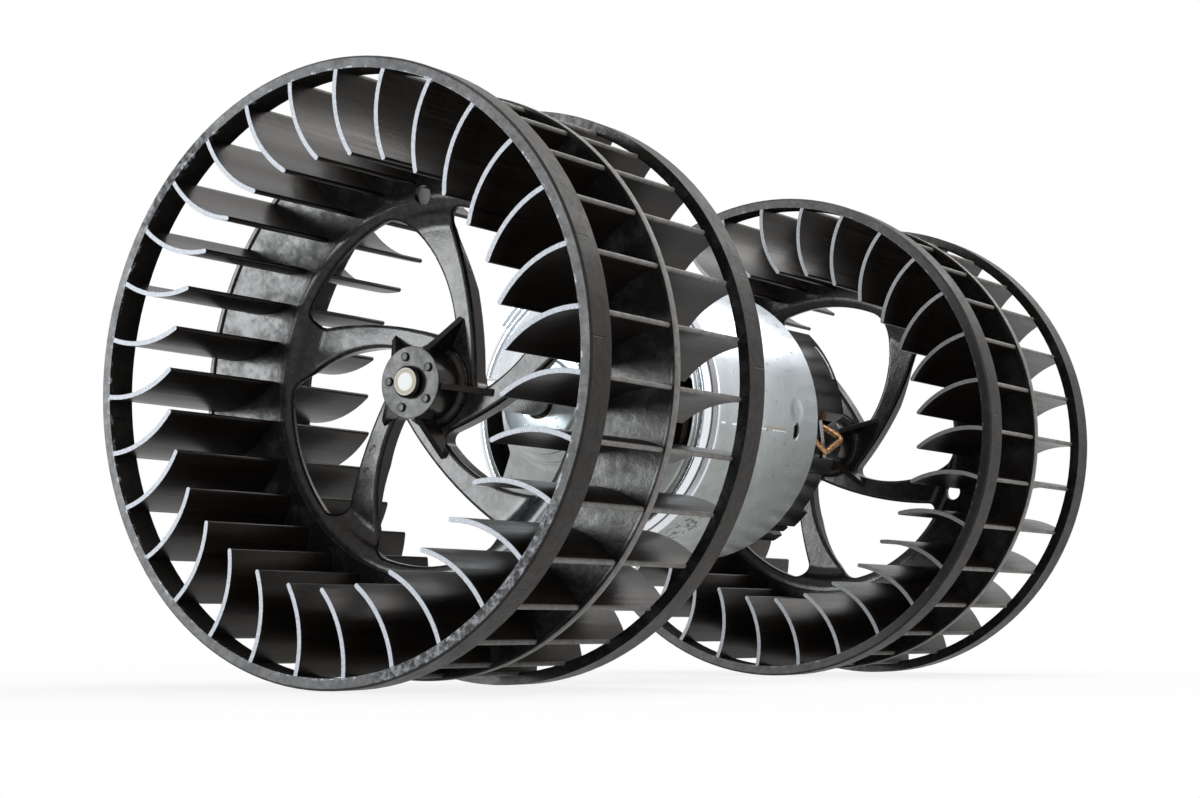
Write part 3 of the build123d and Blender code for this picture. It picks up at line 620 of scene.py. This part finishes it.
def wheel_colour(tree, zone, noise, damage, wear_and_light):
    """The black of the moulding with its cloudiness, dust, painted sheen and marks, and painted highlights
    on its blade ends and outer edges.
    """
    # Painted shade: below a wear_and_light of 1 the faces and blade ends are painted darker.
    painted_shade_share = 0.8 * (1.0 - wear_and_light)
    # Cloudiness and painted sheen: faces that look along the shaft are painted lighter and bluer than the
    # blades' faces, partly from handling and partly as painted sheen.
    haze_and_sheen = ramp(tree, noise.cloud, [(0.36, (0.007, 0.0066, 0.0064)), (0.52, (0.016, 0.016, 0.0165)),
                                    (0.68, (0.062, 0.063, 0.068))])
    pitted = ramp(tree, noise.spots, [(0.28, 0.7), (0.38, 0.0)])
    haze_and_sheen = blend_colour(tree, pitted, haze_and_sheen, (0.012, 0.012, 0.012))
    dust_and_sheen = ramp(tree, noise.spots, [(0.32, (0.012, 0.012, 0.0125)), (0.66, (0.046, 0.047, 0.050))])
    haze_and_sheen = blend_colour(tree, zone.centre, haze_and_sheen, dust_and_sheen)
    haze_and_sheen = blend_colour(tree, painted_shade_share, haze_and_sheen, (0.0070, 0.0058, 0.0050))
    plain = ramp(tree, noise.streak, [(0.30, (0.0045, 0.0034, 0.0028)), (0.72, (0.0140, 0.0108, 0.0090))])
    skin = blend_colour(tree, zone.square_on, plain, haze_and_sheen)
    # Rubbing and painted sheen: the ring face is painted lighter and bluer, most on the front wheel.
    worn_and_sheen = ramp(tree, noise.spots, [(0.30, (0.022, 0.022, 0.023)), (0.66, (0.062, 0.064, 0.070))])
    skin = blend_colour(tree, product(tree, zone.ring_face, wear_and_light), skin, worn_and_sheen)
    # Painted shade: a dark line is painted along the step round the web.
    skin = blend_colour(tree, product(tree, zone.step, 0.8), skin, (0.006, 0.006, 0.006))
    outside = ramp(tree, noise.spots, [(0.35, (0.006, 0.0055, 0.005)), (0.65, (0.016, 0.0148, 0.0140))])
    skin = blend_colour(tree, zone.outer, skin, outside)
    # Painted highlight: the blades' outer edges near the mid web are painted pale grey.
    pale = ramp(tree, noise.spots, [(0.35, (0.130, 0.126, 0.120)), (0.65, (0.210, 0.204, 0.196))])
    skin = blend_colour(tree, zone.pale, skin, pale)
    skin = blend_colour(tree, damage.marks, skin, deep_black)
    skin = blend_colour(tree, damage.cracks, skin, deep_black)
    flecks = ramp(tree, noise.spots, [(0.40, (0.010, 0.010, 0.010)), (0.50, (0.070, 0.072, 0.078)),
                                      (0.62, (0.26, 0.265, 0.28))])
    skin = blend_colour(tree, damage.torn, skin, flecks)
    skin = blend_colour(tree, damage.frayed, skin, (0.42, 0.43, 0.46))
    # Painted highlight: the blade ends are painted pale grey-blue.
    end_highlight = ramp(tree, noise.fine, [(0.3, (0.34, 0.355, 0.385)), (0.7, (0.52, 0.54, 0.58))])
    end_highlight = blend_colour(tree, painted_shade_share, end_highlight, (0.150, 0.146, 0.142))
    return blend_colour(tree, zone.blade_end, skin, end_highlight)


def wheel_roughness(tree, zone, noise):
    """Satin faces, duller outer sides and rubbed ring and hub faces, all a little patchy."""
    patchy = value_math(tree, "ADD", product(tree, noise.cloud, 0.6), product(tree, noise.spots, 0.4))
    satin = ramp(tree, patchy, [(0.38, 0.40), (0.58, 0.17)])
    drawn = ramp(tree, noise.streak, [(0.3, 0.27), (0.7, 0.40)])
    rough = blend_value(tree, zone.square_on, drawn, satin)
    smooth = ramp(tree, patchy, [(0.38, 0.25), (0.60, 0.15)])
    rough = blend_value(tree, zone.centre, rough, smooth)
    rubbed = ramp(tree, patchy, [(0.36, 0.44), (0.62, 0.28)])
    rough = blend_value(tree, value_math(tree, "MAXIMUM", zone.ring_face, zone.hub_face), rough, rubbed)
    outside = ramp(tree, patchy, [(0.36, 0.56), (0.62, 0.42)])
    rough = blend_value(tree, zone.outer, rough, outside)
    return blend_value(tree, zone.blade_end, rough, 0.36)


def wheel_relief(tree, shader, zone, noise, damage):
    """Rounded edges, then the skin's unevenness, the step round the web and the damage."""
    scored = value_math(tree, "MAXIMUM", damage.marks, damage.cracks)
    ragged = product(tree, damage.torn, noise.spots)
    relief = add_node(tree, "ShaderNodeBevel", samples=6)
    tree.links.new(blend_value(tree, zone.centre, 0.0002, 0.0004), relief.inputs["Radius"])
    for source, height, strength in ((noise.cloud, 0.00016, 0.36), (noise.spots, 0.00007, 0.45),
                                     (noise.streak, 0.000035, 0.5), (noise.sweep, 0.00020, 0.3),
                                     (zone.step, 0.00015, 0.6), (scored, -0.00025, 0.8),
                                     (ragged, 0.0008, 0.9)):
        relief = bump(tree, shader, source, height, strength, relief)


def wheel_moulding(name, middle, wear_and_light):
    """The finish of a wheel whose mid web stands at this Y; wear_and_light is how rubbed and chipped its
    faces are, and below 1 it also paints them darker as painted shade.
    """
    finish, tree, shader = new_finish(name)
    zone = wheel_zones(tree, middle)
    noise = wheel_noises(tree)
    damage = wheel_damage(tree, zone, noise, wear_and_light)
    tree.links.new(wheel_colour(tree, zone, noise, damage, wear_and_light), shader.inputs["Base Color"])
    tree.links.new(wheel_roughness(tree, zone, noise), shader.inputs["Roughness"])
    wheel_relief(tree, shader, zone, noise, damage)
    shader.inputs["Specular IOR Level"].default_value = 0.25
    feed(tree, shader.inputs["Specular Tint"], (1.0, 0.93, 0.86))
    return finish


# The rear wheel's smaller share gives it fewer chips and paints it darker as painted shade.
front_moulding = wheel_moulding("front_wheel_nylon", -wheel_middle, 1.0)
rear_moulding = wheel_moulding("rear_wheel_nylon", wheel_middle, 0.3)
dress(front_moulding, "wheel_front")
dress(rear_moulding, "wheel_rear")


# Each web ends in a thicker band, flush with the blades' outer edges, and five pips of the mould's
# ejectors stand on each hub's front face. They are moulded in one with the wheel.
quarter_turn = math.radians(90.0)
band_radius = 0.0727
band_half_height = 0.00070
band_half_width = 0.00130
pip_radius = 0.00112
pip_height = 0.0008
pip_circle = 0.0066
pip_count = 5
pip_lead = 40.2
hub_front = 0.00715
front_wheel_turn = 26.75
rear_wheel_turn = 140.0


def start_piece(name, add, **settings):
    """Adds a primitive with nothing else selected, and names it."""
    bpy.ops.object.select_all(action="DESELECT")
    add(**settings)
    piece = bpy.context.object
    piece.name = name
    piece.data.name = name
    return piece


def select_only(*pieces):
    """Selects these pieces and nothing else, and makes the first the active one."""
    bpy.ops.object.select_all(action="DESELECT")
    for piece in pieces:
        piece.select_set(True)
    bpy.context.view_layer.objects.active = pieces[0]


def settle(piece):
    """Puts a piece's place and turn into its mesh."""
    select_only(piece)
    bpy.ops.object.transform_apply(location=True, rotation=True, scale=True)


def set_out(piece, places):
    """Moves a piece to the first place, puts a copy at each other place and makes them one mesh."""
    piece.location = places[0]
    copies = []
    for place in places[1:]:
        copy = piece.copy()
        copy.data = piece.data.copy()
        copy.location = place
        bpy.context.collection.objects.link(copy)
        copies.append(copy)
    bpy.context.view_layer.update()
    select_only(piece, *copies)
    bpy.ops.object.join()


def finish_piece(piece, finish, body):
    """Settles a piece at the origin, smooths it and hands it to its body."""
    settle(piece)
    bpy.ops.object.mode_set(mode="EDIT")
    bpy.ops.mesh.select_all(action="SELECT")
    bpy.ops.mesh.normals_make_consistent(inside=False)
    bpy.ops.object.mode_set(mode="OBJECT")
    bpy.ops.object.shade_smooth_by_angle(angle=math.radians(35.0))
    piece.data.materials.clear()
    piece.data.materials.append(finish)
    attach(piece, body)


def towards_square(value):
    """Pushes a value between -1 and 1 outwards, which makes a round section nearly square."""
    return math.copysign(abs(value) ** 0.35, value)


def band_round_web(name, middle, finish):
    """A ring with a rounded, nearly square section round the edge of a web."""
    section = 0.0010
    piece = start_piece(name, bpy.ops.mesh.primitive_torus_add, major_segments=160, minor_segments=12,
                        major_radius=band_radius, minor_radius=section, rotation=(quarter_turn, 0.0, 0.0))
    settle(piece)
    for vertex in piece.data.vertices:
        x, y, z = vertex.co
        out = math.hypot(x, z)
        rise = towards_square((out - band_radius) / section) * band_half_height
        side = towards_square(y / section) * band_half_width
        vertex.co = (x / out * (band_radius + rise), middle + side, z / out * (band_radius + rise))
    finish_piece(piece, finish, "rotor")


def ejector_pips(name, middle, wheel_turn, finish):
    """Low pips with rounded tops, in a circle on a hub's front face."""
    pip = start_piece(name, bpy.ops.mesh.primitive_cylinder_add, vertices=24, radius=pip_radius,
                      depth=pip_height, rotation=(quarter_turn, 0.0, 0.0))
    top = [face for face in pip.data.polygons if face.normal.z > 0.9 and len(face.vertices) > 4][0]
    for part in (*pip.data.vertices, *pip.data.edges, *pip.data.polygons):
        part.select = False
    top.select = True
    bpy.ops.object.mode_set(mode="EDIT")
    bpy.ops.mesh.select_mode(type="FACE")
    bpy.ops.mesh.inset(thickness=0.00022, depth=0.00014)
    bpy.ops.mesh.inset(thickness=0.00030, depth=-0.00006)
    bpy.ops.object.mode_set(mode="OBJECT")
    places = []
    for k in range(pip_count):
        turn = math.radians(wheel_turn - pip_lead + 360.0 / pip_count * k)
        places.append((pip_circle * math.sin(turn), middle - hub_front, pip_circle * math.cos(turn)))
    set_out(pip, places)
    finish_piece(pip, finish, "rotor")


band_round_web("mid_band_front", -wheel_middle, front_moulding)
band_round_web("mid_band_rear", wheel_middle, rear_moulding)
ejector_pips("hub_pips_front", -wheel_middle, front_wheel_turn, front_moulding)
ejector_pips("hub_pips_rear", wheel_middle, rear_wheel_turn, rear_moulding)


# A thin strip of tinned steel lies along the round wall of each brush housing. It is bent to the
# wall, a little aslant, and its edges are rounded.
strip_radius = 0.0384
strip_crown = 0.0002
strip_degrees = 17.0
strip_y = 0.0412
strip_width = 0.0008
strip_slant = 0.0012
strip_thickness = 0.0005


def housing_strip(name, middle):
    """A grid drawn onto an arc and thickened; the middle is in degrees round from the top."""
    piece = start_piece(name, bpy.ops.mesh.primitive_grid_add, x_subdivisions=28, y_subdivisions=3, size=1.0)
    for vertex in piece.data.vertices:
        x, y = vertex.co[:2]
        turn = math.radians(middle + strip_degrees * x)
        lift = strip_radius + strip_crown * math.cos(math.pi * x)
        level = strip_y + strip_width * y + strip_slant * x
        vertex.co = (lift * math.sin(turn), level, lift * math.cos(turn))
    thick = piece.modifiers.new("thick", "SOLIDIFY")
    thick.thickness = strip_thickness
    thick.offset = 0.0
    eased = piece.modifiers.new("eased", "BEVEL")
    eased.width = 0.00012
    eased.segments = 2
    eased.angle_limit = math.radians(40.0)
    for modifier in ("thick", "eased"):
        bpy.ops.object.modifier_apply(modifier=modifier)
    finish_piece(piece, strap_finish, "stator")


housing_strip("housing_strip_a", middle=62.0)
housing_strip("housing_strip_b", middle=242.0)


# Each choke is a ferrite rod on the card, wound with seven close turns of copper wire that lean a
# little along the rod.
coil_turns = 7
coil_pitch = 0.00126
coil_radius = 0.00288
wire_radius = 0.00060
turn_lean = 6.0
choke_reach = 0.0315
choke_y = 0.0280


def wound_coil(name, middle, node):
    """The turns round one rod; the middle is in degrees round from the top."""
    coil = start_piece(name, bpy.ops.mesh.primitive_torus_add, major_segments=40, minor_segments=12,
                       major_radius=coil_radius, minor_radius=wire_radius,
                       rotation=(0.0, quarter_turn, math.radians(turn_lean)))
    set_out(coil, [((k - coil_turns // 2) * coil_pitch, 0.0, 0.0) for k in range(coil_turns)])
    settle(coil)
    turn = math.radians(middle)
    coil.location = (choke_reach * math.sin(turn), choke_y, choke_reach * math.cos(turn))
    coil.rotation_euler = (0.0, turn, 0.0)
    finish_piece(coil, braid_finish, "stator")
    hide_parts(node)


wound_coil("choke_coil_a", middle=126.0, node="choke_winding_a")
wound_coil("choke_coil_b", middle=306.0, node="choke_winding_b")
